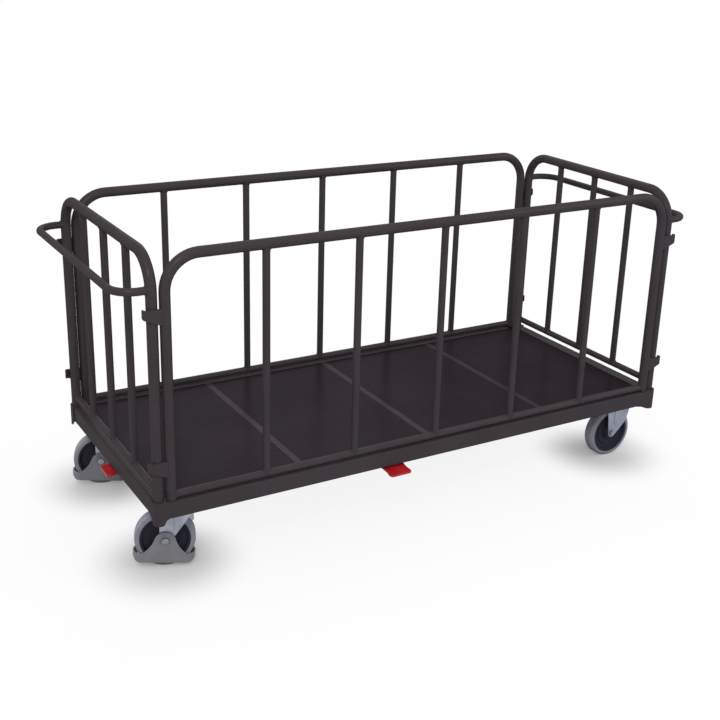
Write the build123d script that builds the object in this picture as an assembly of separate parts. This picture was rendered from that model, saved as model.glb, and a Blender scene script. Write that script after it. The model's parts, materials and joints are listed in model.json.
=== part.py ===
"""Four-sided platform trolley: a boarded steel platform on four casters, two fixed end frames
with push handles, two lift-off side panels and a foot-operated central brake.

Millimetres. X runs along the trolley, Y across it, Z up. The origin is on the floor under the
middle of the platform. The swivel casters are at the -X end, the fixed ones at the +X end.
"""
import os
from math import asin, cos, radians, sin, sqrt

from build123d import *

# Platform frame
frame_length = 1674.0
frame_width = 722.0
frame_height = 45.0
caster_rise = 35.0
rail_sheet = 2.5
band_width = 14.0
lip_width = 18.0
ledge_width = 16.0
rail_edge_radius = 2.0

# Deck boards and the cross members between them
board_thickness = 12.0
board_gap = 0.75
board_count = 4
strip_width = 20.0
member_wall = 2.0
member_ledge = 15.0

# Tubes of the end frames, side panels and handles
leg_diameter = 28.0
leg_wall = 1.5
bar_diameter = 20.0
bar_wall = 1.5
hoop_top = 886.0
hoop_bend = 88.0
end_leg_setback = 8.0
side_leg_setback = 2.0
leg_gap = 3.0
end_rail_lift = 28.0
side_rail_lift = 12.5
end_bar_count = 3
side_bar_count = 5
handle_drop = 94.0
handle_reach = 85.5
handle_bend = 57.0

# Corner pockets that hold the legs
pocket_wall = 3.0
pocket_rise = 1.5
pocket_drop = 16.5
pocket_radius = 16.0
tongue_flat = 18.0
tongue_edge = 1.5
fixed_tongue_reach = 38.0
socket_clearance = 0.3
socket_floor = 8.0
peg_height = 24.0
peg_chamfer = 2.0

# Hook clips of the side panels
hook_sheet = 3.0
hook_clearance = 0.5
hook_reach = 8.5
hook_bend = 6.0
hook_return = 16.0
hook_root = 42.0
hook_tip = 24.0
hook_corner = 5.0
upper_hook_drop = 138.0
lower_hook_rise = 111.0

# Wheels
wheel_diameter = 160.0
tyre_width = 38.0
tyre_thickness = 13.0
tyre_shoulder = 9.0
hub_clearance = 2.0
hub_boss = 42.0
hub_web = 16.0
hub_rim = 6.0
hub_rim_inset = 1.5
hub_slope = 3.0
hub_ridge_diameter = 84.0
hub_ridge_width = 6.0
hub_ridge_height = 3.0
bearing_diameter = 26.0
bearing_wall = 4.95
bearing_inset = 0.5
running_clearance = 0.05

# Axle bolts and caster bolts
axle_diameter = 10.0
axle_head_width = 17.0
axle_head_height = 5.0
axle_thread = 2.0
axle_hole_clearance = 0.2
bolt_diameter = 8.0
bolt_head_width = 13.0
bolt_head_height = 5.5
bolt_hole_clearance = 0.5

# Caster plates, forks and brackets
bed_thickness = 4.0
bed_margin = 8.0
bed_gap = 0.5
bed_hole = 30.0
plate_length = 135.0
plate_width = 110.0
plate_thickness = 5.0
plate_radius = 10.0
bolt_margin = 15.0
caster_side_gap = 24.0
swivel_end_gap = 39.5
fixed_end_gap = 1.5
fixed_offset = 12.0
swivel_trail = 66.0
swivel_yaw = -20.0
fork_gap = 43.0
fork_sheet = 4.0
fork_boss = 28.0
fork_back = 14.0
fork_nose = 87.0
fork_corner = 4.0
bracket_back = 28.0
bracket_nose = 78.0
bracket_knee_rise = 47.0
bracket_knee_reach = 58.0
bracket_knee_radius = 24.0
rib_width = 18.0
rib_height = 2.4
rib_round = 2.0
rib_setback = 15.0
rib_start = 36.0
rib_margin = 17.0
crown_radius = 38.0
race_diameter = 62.0
race_flare = 92.0
race_depth = 6.0
dish_wall = 3.0
dish_gap = 2.0
dish_height = 9.0
kingpin_diameter = 20.0
kingpin_flange = 30.0
kingpin_flange_height = 4.0
seat_clearance = 0.3

# Foot guards round the swivel wheels
guard_toe = 8.6
guard_wall = 3.5
guard_gap = 0.5
guard_bottom = 16.0
guard_rim = 40.0
guard_corner = 24.0
guard_heel = 16.0
guard_shoulder = 27.5
guard_foot = 60.0
guard_dome = 25.5
guard_neck = 4.0
guard_flare = 10.5
guard_flare_rise = 22.0
guard_tilt = 4.5
guard_recess = 26.0
guard_recess_depth = 1.2

# Central brake
side_shaft_inset = 131.0
pedal_width = 73.0
pedal_waist = 65.0
pedal_root = 70.0
pedal_length = 54.5
pedal_waist_share = 0.5
pedal_sheet = 3.0
pedal_rim = 5.0
pedal_round = 2.0
pedal_corner = 10.0
pedal_waist_round = 30.0
pedal_clearance = 5.5
pedal_overhang = 35.0
pedal_slope = 6.5
pedal_station = -138.0
end_pedal_overhang = 22.0
end_pedal_station = -6.0
pedal_angle = 9.0
arm_width = 10.0
arm_depth = 12.0
shaft_diameter = 12.0
shaft_lift = 19.0
shaft_overrun = 10.0
lever_length = 38.0
lever_tip = 3.0
lever_width = 8.0
lever_thickness = 5.0
lever_gap = 1.5
lever_hub = 20.0
lug_width = 26.0
lug_crown = 11.0
lug_thickness = 4.0
lug_spacing = 17.0
plunger_diameter = 8.0
plunger_head = 22.0
plunger_head_height = 4.0
shoe_length = 20.0
shoe_width = 28.0
shoe_clearance = 1.2

# Places worked out from the sizes above
half_length = frame_length / 2
half_width = frame_width / 2
wheel_radius = wheel_diameter / 2
ride_height = wheel_diameter + caster_rise
deck_top = ride_height + frame_height
leg_radius = leg_diameter / 2
rail_axis_top = hoop_top - leg_radius
handle_height = hoop_top - handle_drop
hook_tops = (hoop_top - upper_hook_drop, deck_top + lower_hook_rise)
end_leg_x = half_length - leg_radius
end_leg_y = half_width - end_leg_setback - leg_radius
side_leg_x = end_leg_x - leg_diameter - leg_gap
side_leg_y = half_width - side_leg_setback - leg_radius
end_rail_z = deck_top + end_rail_lift
side_rail_z = deck_top + side_rail_lift
socket_radius = leg_radius + socket_clearance
pocket_outer_x = end_leg_x + socket_radius + pocket_wall
pocket_inner_x = end_leg_x - socket_radius - pocket_wall
pocket_inner_y = end_leg_y - socket_radius - pocket_wall
pocket_top = deck_top + pocket_rise
pocket_bottom = ride_height - pocket_drop
fixed_tongue_x = pocket_inner_x - fixed_tongue_reach
board_pitch = (frame_length - 2 * band_width) / board_count
bed_bottom = ride_height + rail_sheet
bed_top = bed_bottom + bed_thickness
plate_bottom = bed_bottom - plate_thickness
bolt_pitch_length = plate_length - 2 * bolt_margin
bolt_pitch_width = plate_width - 2 * bolt_margin
caster_y = half_width - lip_width - caster_side_gap - plate_width / 2
swivel_station = half_length - lip_width - swivel_end_gap - plate_length / 2
fixed_station = half_length - lip_width - fixed_end_gap - plate_length / 2
fixed_axle_x = fixed_station - fixed_offset
rim_radius = wheel_radius - tyre_thickness
hub_length = fork_gap - 2 * hub_clearance
sleeve_diameter = bearing_diameter - 2 * bearing_wall - 2 * running_clearance
crown_top = plate_bottom - race_depth - dish_height + seat_clearance
crown_bottom = crown_top - fork_sheet
kingpin_bottom = crown_bottom - seat_clearance - kingpin_flange_height
fork_outer = fork_gap / 2 + fork_sheet
guard_inner = fork_outer + guard_gap
guard_outer = guard_inner + guard_wall
guard_seat = guard_outer - guard_recess_depth
guard_reach = sqrt(wheel_radius**2 - (wheel_radius - guard_rim) ** 2) + guard_toe
shaft_z = ride_height + shaft_lift
brake_y = half_width - side_shaft_inset
brake_x = swivel_station - lever_length + lever_tip
lever_cross = lever_length - lever_width / 2
plunger_travel = lever_length * radians(pedal_angle)


def between(start, end, section):
    """Extrude a section from one point straight to another."""
    run = Vector(*end) - Vector(*start)
    return extrude(Plane(origin=start, z_dir=run) * section, run.length)


def rod(start, end, diameter):
    return between(start, end, Circle(diameter / 2))


def post(x, y, low, high, diameter):
    """An upright rod."""
    return rod((x, y, low), (x, y, high), diameter)


def lengthwise(y, z, half, diameter):
    """A rod along X, centred on the middle of the trolley."""
    return rod((-half, y, z), (half, y, z), diameter)


def crosswise(x, z, half, diameter):
    """A rod along Y, centred on the middle of the trolley."""
    return rod((x, -half, z), (x, half, z), diameter)


def tube(start, end, diameter, wall):
    return between(start, end, Circle(diameter / 2) - Circle(diameter / 2 - wall))


def bent_tube(points, bend, diameter, wall):
    """A tube along straight runs with the same bend radius at each corner."""
    path = FilletPolyline(*points, radius=bend)
    section = Circle(diameter / 2) - Circle(diameter / 2 - wall)
    return sweep(Plane(origin=path @ 0, z_dir=path % 0) * section, path)


def block(low, high):
    """A box between two opposite corners."""
    size = [high[i] - low[i] for i in range(3)]
    return Pos(*low) * Box(*size, align=(Align.MIN, Align.MIN, Align.MIN))


def in_all_corners(shape):
    """A shape drawn in the +X +Y quarter, and its three mirror images."""
    pair = [shape, mirror(shape, about=Plane.YZ)]
    return pair + [mirror(each, about=Plane.XZ) for each in pair]


def side_plane(y):
    """Upright plane across Y: sketch X along the trolley, sketch Y up, extruded towards -Y."""
    return Plane(origin=(0, y, 0), x_dir=(1, 0, 0), z_dir=(0, -1, 0))


def hexagon(width, height):
    """A hexagonal prism standing on the XY plane, measured across its flats."""
    return extrude(RegularPolygon(width / sqrt(3), 6), height)


# Rails, cross members and boards

def rail_profile():
    """Bent sheet: lower lip, outer web, top band, inner web and the ledge under the boards."""
    ledge_top = frame_height - board_thickness
    ledge_bottom = ledge_top - rail_sheet
    inner = band_width - rail_sheet
    outline = Polygon(
        (0, 0),
        (lip_width, 0),
        (lip_width, rail_sheet),
        (rail_sheet, rail_sheet),
        (rail_sheet, frame_height - rail_sheet),
        (inner, frame_height - rail_sheet),
        (inner, ledge_bottom),
        (band_width + ledge_width, ledge_bottom),
        (band_width + ledge_width, ledge_top),
        (band_width, ledge_top),
        (band_width, frame_height),
        (0, frame_height),
        align=None,
    )
    outer_corners = outline.vertices().filter_by_position(Axis.X, 0, 0)
    return fillet(outer_corners, rail_edge_radius)


def long_rail():
    start = Plane(origin=(0, -half_width, ride_height), x_dir=(0, 1, 0), z_dir=(1, 0, 0))
    return extrude(start * rail_profile(), pocket_inner_x, both=True)


def end_rail():
    start = Plane(origin=(-half_length, 0, ride_height), x_dir=(1, 0, 0), z_dir=(0, -1, 0))
    return extrude(start * rail_profile(), pocket_inner_y, both=True)


def member_stations():
    return [(i - board_count / 2) * board_pitch for i in range(1, board_count)]


def member_profile():
    """A box section whose crown is flush with the boards, with a ledge along both sides."""
    ledge_top = deck_top - board_thickness
    depth = deck_top - bed_bottom
    middle = (deck_top + bed_bottom) / 2
    section = Pos(0, middle) * Rectangle(strip_width, depth)
    section += Pos(0, ledge_top - rail_sheet / 2) * Rectangle(strip_width + 2 * member_ledge, rail_sheet)
    return section - Pos(0, middle) * Rectangle(strip_width - 2 * member_wall, depth - 2 * member_wall)


def cross_member(x, rails):
    """Cross member coped to the rails, with the holes that carry the brake shafts."""
    half = strip_width / 2
    body = extrude(side_plane(0) * (Pos(x, 0) * member_profile()), half_width - band_width, both=True)
    for y in (-brake_y, brake_y):
        body -= rod((x - half, y, shaft_z), (x + half, y, shaft_z), shaft_diameter + 2 * running_clearance)
    for rail in rails:
        body -= rail
    return body


def deck_board(index):
    """One board, notched round the corner pockets where it reaches them."""
    middle = (index - (board_count - 1) / 2) * board_pitch
    low_x = middle - board_pitch / 2
    high_x = middle + board_pitch / 2
    low_gap = board_gap if index == 0 else strip_width / 2 + board_gap
    high_gap = board_gap if index == board_count - 1 else strip_width / 2 + board_gap
    reach = half_width - band_width - board_gap
    board = block(
        (low_x + low_gap, -reach, deck_top - board_thickness),
        (high_x - high_gap, reach, deck_top),
    )
    notch = block(
        (pocket_inner_x - board_gap, pocket_inner_y - board_gap, ride_height),
        (half_length, half_width, pocket_top),
    )
    for cut in in_all_corners(notch):
        board -= cut
    return board


# Corner pockets and caster beds

def corner_plan(low_x, low_y, inset):
    """Plan of a pocket with its rounded corner, the outer faces moved in by the inset."""
    high_x = pocket_outer_x - inset
    high_y = half_width - inset
    plan = Polygon((low_x, low_y), (high_x, low_y), (high_x, high_y), (low_x, high_y), align=None)
    corner = plan.vertices().sort_by(lambda vertex: vertex.X + vertex.Y)[-1]
    return fillet(corner, pocket_radius - inset)


def tongue_relief(start, finish):
    """What is cut from a skirt: all below an S-curve from the rail at start to the tongue's level end."""
    level = finish - tongue_flat
    edge = ride_height - tongue_edge
    curve = Spline((start, edge), (level, pocket_bottom), tangents=((1, 0), (1, 0)))
    rest = Polyline((level, pocket_bottom), (start, pocket_bottom), (start, edge))
    return make_face(curve + rest)


def corner_pocket(tongue_x):
    """Pressed corner: two skirts with curved tongues, a socket for the end leg and a peg for the side
    panel's leg. The long side's tongue begins at tongue_x."""
    floor_top = ride_height + socket_floor
    plan = corner_plan(pocket_inner_x, pocket_inner_y, 0)
    shell = extrude(Pos(0, 0, ride_height) * plan, pocket_top - ride_height)
    cavity = corner_plan(pocket_inner_x + pocket_wall, pocket_inner_y + pocket_wall, pocket_wall)
    shell -= extrude(Pos(0, 0, floor_top) * cavity, pocket_top - pocket_wall - floor_top)
    shell -= extrude(Pos(0, 0, ride_height) * cavity, rail_sheet)
    ring = corner_plan(tongue_x, pocket_inner_y, 0) - corner_plan(tongue_x, pocket_inner_y, pocket_wall)
    skirt = extrude(Pos(0, 0, pocket_bottom) * ring, pocket_drop)
    skirt -= extrude(side_plane(half_width) * tongue_relief(tongue_x, pocket_outer_x), pocket_wall)
    end_plane = Plane(origin=(pocket_outer_x - pocket_wall, 0, 0), x_dir=(0, 1, 0), z_dir=(1, 0, 0))
    skirt -= extrude(end_plane * tongue_relief(pocket_inner_y, half_width), pocket_wall)
    shell += skirt
    shell -= post(end_leg_x, end_leg_y, floor_top, pocket_top, 2 * socket_radius)
    shoe = block(
        (side_leg_x - leg_radius / 2, side_leg_y - leg_radius, deck_top),
        (pocket_inner_x, half_width, pocket_top),
    )
    peg_diameter = leg_diameter - 2 * leg_wall - 2 * socket_clearance
    peg = post(side_leg_x, side_leg_y, pocket_top, pocket_top + peg_height, peg_diameter)
    peg = chamfer(peg.edges().group_by(Axis.Z)[-1], peg_chamfer)
    return shell + shoe + peg


def corner_pockets():
    """Two pockets at the fixed end, and two with shorter tongues where the swivel casters turn."""
    fixed = corner_pocket(fixed_tongue_x)
    swivel = mirror(corner_pocket(pocket_inner_x), about=Plane.YZ)
    return [fixed, mirrored_y(fixed), swivel, mirrored_y(swivel)]


def plate_bolt_places(x, y):
    return [
        (x + i * bolt_pitch_length / 2, y + j * bolt_pitch_width / 2)
        for i in (-1, 1)
        for j in (-1, 1)
    ]


def caster_bed(station, low_x, centre_hole):
    """Plate on the rails' lips that a caster is bolted to, in the +X +Y quarter."""
    high_x = half_length - rail_sheet - bed_gap
    high_y = half_width - rail_sheet - bed_gap
    low_y = min(caster_y - plate_width / 2, brake_y - lug_width / 2) - bed_margin
    bed = block((low_x - bed_margin, low_y, bed_bottom), (high_x, high_y, bed_top))
    bed -= block(
        (pocket_inner_x - bed_gap, pocket_inner_y - bed_gap, bed_bottom),
        (half_length, half_width, bed_top),
    )
    for x, y in plate_bolt_places(station, caster_y):
        bed -= post(x, y, bed_bottom, bed_top, bolt_diameter + 2 * bolt_hole_clearance)
    if centre_hole:
        bed -= post(station, caster_y, bed_bottom, bed_top, bed_hole)
    return bed


def lug_station():
    """Distance from the middle of the trolley to the lugs that carry the long brake shafts."""
    return brake_x - lever_cross - lug_spacing


# End frames and side panels

def end_hoop():
    """Hoop of the +X end frame, plugged into the corner pockets."""
    foot = ride_height + socket_floor
    points = [
        (end_leg_x, -end_leg_y, foot),
        (end_leg_x, -end_leg_y, rail_axis_top),
        (end_leg_x, end_leg_y, rail_axis_top),
        (end_leg_x, end_leg_y, foot),
    ]
    return bent_tube(points, hoop_bend, leg_diameter, leg_wall)


def end_bottom_rail():
    ends = [(end_leg_x, y, end_rail_z) for y in (-end_leg_y, end_leg_y)]
    rail = tube(*ends, bar_diameter, bar_wall)
    for x, y, z in ends:
        rail -= post(x, y, z - leg_diameter, z + leg_diameter, leg_diameter)
    return rail


def upright_bars(places, low_rail, top_rail):
    """Bars coped to the bottom rail and the hoop's top run."""
    bars = []
    for x, y, low, high in places:
        bars.append(tube((x, y, low), (x, y, high), bar_diameter, bar_wall) - low_rail - top_rail)
    return bars


def end_bars():
    pitch = 2 * end_leg_y / (end_bar_count + 1)
    low_rail = crosswise(end_leg_x, end_rail_z, end_leg_y, bar_diameter)
    top_rail = crosswise(end_leg_x, rail_axis_top, end_leg_y, leg_diameter)
    places = [
        (end_leg_x, -end_leg_y + pitch * i, end_rail_z, rail_axis_top)
        for i in range(1, end_bar_count + 1)
    ]
    return upright_bars(places, low_rail, top_rail)


def handle():
    """Push handle of the +X end, coped to the legs."""
    reach = end_leg_x + handle_reach
    points = [
        (end_leg_x, -end_leg_y, handle_height),
        (reach, -end_leg_y, handle_height),
        (reach, end_leg_y, handle_height),
        (end_leg_x, end_leg_y, handle_height),
    ]
    grip = bent_tube(points, handle_bend, bar_diameter, bar_wall)
    for y in (-end_leg_y, end_leg_y):
        grip -= post(end_leg_x, y, handle_height - leg_diameter, handle_height + leg_diameter, leg_diameter)
    return grip


def side_hoop():
    """Hoop of the front side panel, standing over the pegs."""
    points = [
        (-side_leg_x, -side_leg_y, pocket_top),
        (-side_leg_x, -side_leg_y, rail_axis_top),
        (side_leg_x, -side_leg_y, rail_axis_top),
        (side_leg_x, -side_leg_y, pocket_top),
    ]
    return bent_tube(points, hoop_bend, leg_diameter, leg_wall)


def side_bottom_rail():
    ends = [(x, -side_leg_y, side_rail_z) for x in (-side_leg_x, side_leg_x)]
    rail = tube(*ends, bar_diameter, bar_wall)
    for x, y, z in ends:
        rail -= post(x, y, z - leg_diameter, z + leg_diameter, leg_diameter)
    return rail


def side_bars():
    pitch = 2 * side_leg_x / (side_bar_count + 1)
    low_rail = lengthwise(-side_leg_y, side_rail_z, side_leg_x, bar_diameter)
    top_rail = lengthwise(-side_leg_y, rail_axis_top, side_leg_x, leg_diameter)
    places = [
        (-side_leg_x + pitch * i, -side_leg_y, side_rail_z, rail_axis_top)
        for i in range(1, side_bar_count + 1)
    ]
    return upright_bars(places, low_rail, top_rail)


def hook(top):
    """Strip from the side leg round the outside of the end leg, in the +X -Y quarter."""
    outer_y = -(end_leg_y + leg_radius + hook_clearance + hook_sheet)
    outer_x = end_leg_x + leg_radius + hook_reach + hook_sheet
    strip = Polygon(
        (side_leg_x, outer_y),
        (outer_x, outer_y),
        (outer_x, outer_y + hook_return),
        (outer_x - hook_sheet, outer_y + hook_return),
        (outer_x - hook_sheet, outer_y + hook_sheet),
        (side_leg_x, outer_y + hook_sheet),
        align=None,
    )
    corner = strip.vertices().sort_by(lambda v: v.X - v.Y)
    strip = fillet(corner[-1], hook_bend)
    inner_corner = strip.vertices().sort_by_distance((outer_x - hook_sheet, outer_y + hook_sheet))[0]
    strip = fillet(inner_corner, hook_bend - hook_sheet)
    clip = extrude(Pos(0, 0, top - hook_root) * strip, hook_root)
    slant = Polygon(
        (side_leg_x + leg_radius, top - hook_root),
        (outer_x, top - hook_root),
        (outer_x, top - hook_tip),
        align=None,
    )
    clip -= extrude(side_plane(0) * slant, half_width, both=True)
    clip -= post(side_leg_x, -side_leg_y, top - hook_root, top, leg_diameter)
    tip = clip.faces().sort_by(Axis.Y)[-1]
    return fillet(tip.edges().sort_by(SortBy.LENGTH)[:2], hook_corner)


# Wheels, drawn about the Y axis through the origin

def spun(profile):
    """Turn a half section, drawn with radius along X and width along Y, about the Y axis."""
    return revolve(profile, Axis.Y)


def wheel_tyre():
    half = tyre_width / 2
    section = Pos((rim_radius + wheel_radius) / 2, 0) * Rectangle(tyre_thickness, 2 * half)
    outer = section.vertices().group_by(Axis.X)[-1]
    return spun(fillet(outer, tyre_shoulder))


def wheel_hub():
    """Moulded hub: boss, dished web with a raised ring, and the rim under the tyre."""
    boss = hub_boss / 2
    web = hub_web / 2
    rim_inner = rim_radius - hub_rim
    rim = tyre_width / 2 - hub_rim_inset
    ring_inner = hub_ridge_diameter / 2 - hub_ridge_width / 2
    ring_outer = hub_ridge_diameter / 2 + hub_ridge_width / 2
    ring_slope = hub_ridge_width / 6
    side = [
        (bearing_diameter / 2, hub_length / 2),
        (boss, hub_length / 2),
        (boss + hub_slope, web),
        (ring_inner, web),
        (ring_inner + ring_slope, web + hub_ridge_height),
        (ring_outer - ring_slope, web + hub_ridge_height),
        (ring_outer, web),
        (rim_inner - hub_slope, web),
        (rim_inner, rim),
        (rim_radius, rim),
    ]
    other_side = [(radius, -width) for radius, width in reversed(side)]
    return spun(Polygon(*side, *other_side, align=None))


def wheel_bearing():
    middle = (bearing_diameter - bearing_wall) / 2
    return spun(Pos(middle, 0) * Rectangle(bearing_wall, hub_length - 2 * bearing_inset))


def axle_set(reach):
    """Bolt, lock nut and spacer sleeve through a wheel, clamped over faces at +reach and -reach."""
    head = side_plane(-reach) * hexagon(axle_head_width, axle_head_height)
    nut_end = reach + axle_head_height
    bolt = head + rod((0, -reach, 0), (0, nut_end + axle_thread, 0), axle_diameter)
    nut = side_plane(nut_end) * hexagon(axle_head_width, axle_head_height)
    nut -= rod((0, reach, 0), (0, nut_end, 0), axle_diameter)
    sleeve_wall = (sleeve_diameter - axle_diameter) / 2
    sleeve = tube((0, -fork_gap / 2, 0), (0, fork_gap / 2, 0), sleeve_diameter, sleeve_wall)
    return [bolt, nut, sleeve]


# Casters, drawn with the axle of the wheel at X = 0, the front of the fork towards +X

def fork_cheek(top):
    """One cheek of a swivel fork: round the axle, leaning straight forward to the crown."""
    boss = Pos(0, wheel_radius) * Circle(fork_boss / 2)
    head = Polyline((-fork_back, top), (fork_nose, top))
    return make_hull(boss.edges() + head.edges())


def bracket_cheek(top):
    """One cheek of a fixed bracket: round the axle, with a knee below the plate."""
    boss = Pos(0, wheel_radius) * Circle(fork_boss / 2)
    knee_x = bracket_knee_reach - bracket_knee_radius
    knee = Pos(knee_x, wheel_radius + bracket_knee_rise) * Circle(bracket_knee_radius)
    head = Polyline((-bracket_back, top), (bracket_nose, top))
    return make_hull(boss.edges() + knee.edges() + head.edges())


def cheek_rib(top):
    """Pressed rib that stiffens a cheek above the axle, standing on the XY plane."""
    low = Pos(rib_setback, wheel_radius + rib_start) * Circle(rib_width / 2)
    high = Pos(rib_setback, top - rib_margin) * Circle(rib_width / 2)
    rib = extrude(make_hull(low.edges() + high.edges()), rib_height)
    return fillet(rib.edges().group_by(Axis.Z)[-1], rib_round)


def fork_legs(outline, top):
    """The two cheeks with their ribs and the hole for the axle bolt."""
    near = extrude(side_plane(-fork_gap / 2) * outline, fork_sheet)
    near += side_plane(-fork_outer) * cheek_rib(top)
    near -= crosswise(0, wheel_radius, fork_outer, axle_diameter + 2 * axle_hole_clearance)
    return [near, mirrored_y(near)]


def swivel_fork():
    """Pressed fork: two cheeks, the crown plate round the kingpin and the dish of the swivel head."""
    bridge = RectangleRounded(fork_nose + fork_back, 2 * fork_outer, fork_corner)
    plan = Pos((fork_nose - fork_back) / 2, 0) * bridge + Pos(swivel_trail, 0) * Circle(crown_radius)
    fork = extrude(Pos(0, 0, crown_bottom) * plan, fork_sheet)
    dish_inner = race_diameter / 2 + dish_gap
    dish = Circle(dish_inner + dish_wall) - Circle(dish_inner)
    fork += extrude(Pos(swivel_trail, 0, crown_top) * dish, dish_height)
    top = crown_top - fork_sheet / 2
    for leg in fork_legs(fork_cheek(top), top):
        fork += leg
    pin_hole = kingpin_diameter + 2 * running_clearance
    return fork - post(swivel_trail, 0, crown_bottom, crown_top, pin_hole)


def caster_plate(x):
    """Top plate with its four bolt holes, centred on X = x."""
    outline = RectangleRounded(plate_length, plate_width, plate_radius)
    plate = extrude(Pos(x, 0, plate_bottom) * outline, plate_thickness)
    for hole_x, hole_y in plate_bolt_places(x, 0):
        plate -= post(hole_x, hole_y, plate_bottom, bed_bottom, bolt_diameter + 2 * bolt_hole_clearance)
    return plate


def swivel_plate():
    """Top plate of a swivel caster with the upper race and the hollow kingpin, at the origin."""
    race_bottom = crown_top + seat_clearance
    race = race_diameter / 2
    pin = kingpin_diameter / 2
    flange_top = crown_bottom - seat_clearance
    bore = plunger_diameter / 2 + running_clearance
    section = Polygon(
        (bore, bed_bottom),
        (race_flare / 2, plate_bottom),
        (race, plate_bottom - race_depth),
        (race, race_bottom),
        (pin, race_bottom),
        (pin, flange_top),
        (kingpin_flange / 2, flange_top),
        (kingpin_flange / 2, kingpin_bottom),
        (bore, kingpin_bottom),
        align=None,
    )
    head = revolve(Plane.XZ * section, Axis.Z)
    plate = caster_plate(0) - post(0, 0, plate_bottom, bed_bottom, 2 * bore)
    return plate + head


def fixed_bracket():
    """Pressed bracket of a fixed caster: two cheeks under the top plate."""
    bracket = caster_plate(fixed_offset)
    top = plate_bottom + plate_thickness / 2
    for leg in fork_legs(bracket_cheek(top), top):
        bracket += leg
    return bracket


def bell_outline():
    """Side cheek of a foot guard: a dome over the axle that flares down to the rim."""
    neck = (guard_shoulder, wheel_radius + guard_neck)
    flare = (guard_shoulder + guard_flare, guard_rim + guard_flare_rise)
    dome = (0, wheel_radius + guard_dome)
    line = Polyline((-guard_foot, guard_rim), (-guard_foot, guard_bottom), (guard_foot, guard_bottom),
                    (guard_foot, guard_rim))
    line += ThreePointArc((guard_foot, guard_rim), flare, neck)
    line += ThreePointArc(neck, dome, (-neck[0], neck[1]))
    line += ThreePointArc((-neck[0], neck[1]), (-flare[0], flare[1]), (-guard_foot, guard_rim))
    return make_face(line)


def foot_guard():
    """Moulded guard: a low ring round the wheel and a bell-shaped cheek on each side of the fork."""
    half = guard_reach + guard_wall
    outer = RectangleRounded(2 * half, 2 * guard_outer, guard_corner + guard_wall)
    inner = RectangleRounded(2 * guard_reach, 2 * guard_inner, guard_corner)
    guard = Pos(0, 0, guard_bottom) * extrude(outer - inner, guard_rim - guard_bottom)
    side = Pos(0, guard_bottom + guard_rim) * RectangleRounded(2 * half, 2 * guard_rim, guard_heel)
    guard &= extrude(side_plane(0) * side, guard_outer, both=True)
    for y in (-guard_inner, guard_outer):
        guard += extrude(side_plane(y) * bell_outline(), guard_wall)
    for y in (-guard_outer, guard_outer):
        seat = y - guard_recess_depth if y > 0 else y + guard_recess_depth
        guard -= rod((0, y, wheel_radius), (0, seat, wheel_radius), guard_recess)
    hole = axle_diameter + 2 * axle_hole_clearance
    guard -= crosswise(0, wheel_radius, guard_outer, hole)
    return guard.rotate(Axis((0, 0, wheel_radius), (0, 1, 0)), guard_tilt)


# Central brake

def tread():
    """Pressed tread in the XY plane: waisted sides, rounded front corners and a turned-down rim."""
    waist_y = pedal_length * pedal_waist_share
    right = [(pedal_root / 2, 0), (pedal_waist / 2, waist_y), (pedal_width / 2, pedal_length)]
    left = [(-x, y) for x, y in reversed(right)]
    plan = Polygon(*right, *left, align=None)
    plan = fillet(plan.vertices().filter_by_position(Axis.Y, waist_y, waist_y), pedal_waist_round)
    plan = fillet(plan.vertices().group_by(Axis.Y)[-1], pedal_corner)
    pan = extrude(plan, -pedal_rim)
    pan = fillet(pan.edges().group_by(Axis.Z)[-1], pedal_round)
    hollow = extrude(offset(plan, -pedal_sheet), pedal_sheet - pedal_rim)
    return pan - Pos(0, 0, -pedal_sheet) * hollow


def pedal(reach, overhang):
    """Tread and arm, drawn with the shaft along X through the origin. The tread comes out towards -Y
    under a rail whose outer face lies at the distance reach, and stands out from it by overhang."""
    top = -shaft_lift - pedal_clearance
    tuck = reach + overhang - pedal_length
    slope = asin(pedal_slope / pedal_length)
    step = Plane(origin=(0, -tuck, top), x_dir=(-1, 0, 0), z_dir=(0, -sin(slope), cos(slope))) * tread()
    arm_z = top - arm_depth / 2
    hub = Circle(lever_hub / 2)
    elbow = Pos(tuck - arm_depth, arm_z) * Circle(arm_depth / 2)
    end = Pos(tuck + arm_depth, arm_z - pedal_sheet) * Circle(arm_depth / 2)
    arm = make_hull(hub.edges() + elbow.edges()) + make_hull(elbow.edges() + end.edges())
    across = Plane(origin=(0, 0, 0), x_dir=(0, -1, 0), z_dir=(-1, 0, 0))
    step += extrude(across * arm, arm_width / 2, both=True)
    return step - rod((-arm_width, 0, 0), (arm_width, 0, 0), shaft_diameter)


def lever(x, low):
    """Flat lever on a shaft along X, pointing towards -Y, its underside at the height low."""
    start = x - lever_width / 2
    end = x + lever_width / 2
    hub = rod((start, 0, 0), (end, 0, 0), lever_hub)
    return hub + block((start, -lever_length, low), (end, 0, low + lever_thickness))


def long_shaft():
    """Shaft of a long-side pedal along X: a lever at its -X end lifts the cross shaft's lever."""
    crossing = -brake_x + lever_cross
    start = crossing - shaft_overrun
    end = strip_width / 2 + shaft_overrun
    shaft = rod((start, 0, 0), (end, 0, 0), shaft_diameter)
    lifting = Pos(crossing, 0, 0) * mirror(lever(0, -lever_gap / 2 - lever_thickness), about=Plane.XZ)
    return shaft + lifting


def cross_shaft():
    """Shaft of the end pedal, drawn along X: two levers press the plungers, two are lifted."""
    half = caster_y + shaft_overrun
    shaft = rod((-half, 0, 0), (half, 0, 0), shaft_diameter)
    for side in (-1, 1):
        shaft += lever(side * caster_y, -lever_thickness / 2)
        shaft += mirror(lever(side * (brake_y - lever_cross), lever_gap / 2), about=Plane.XZ)
    return shaft


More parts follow.
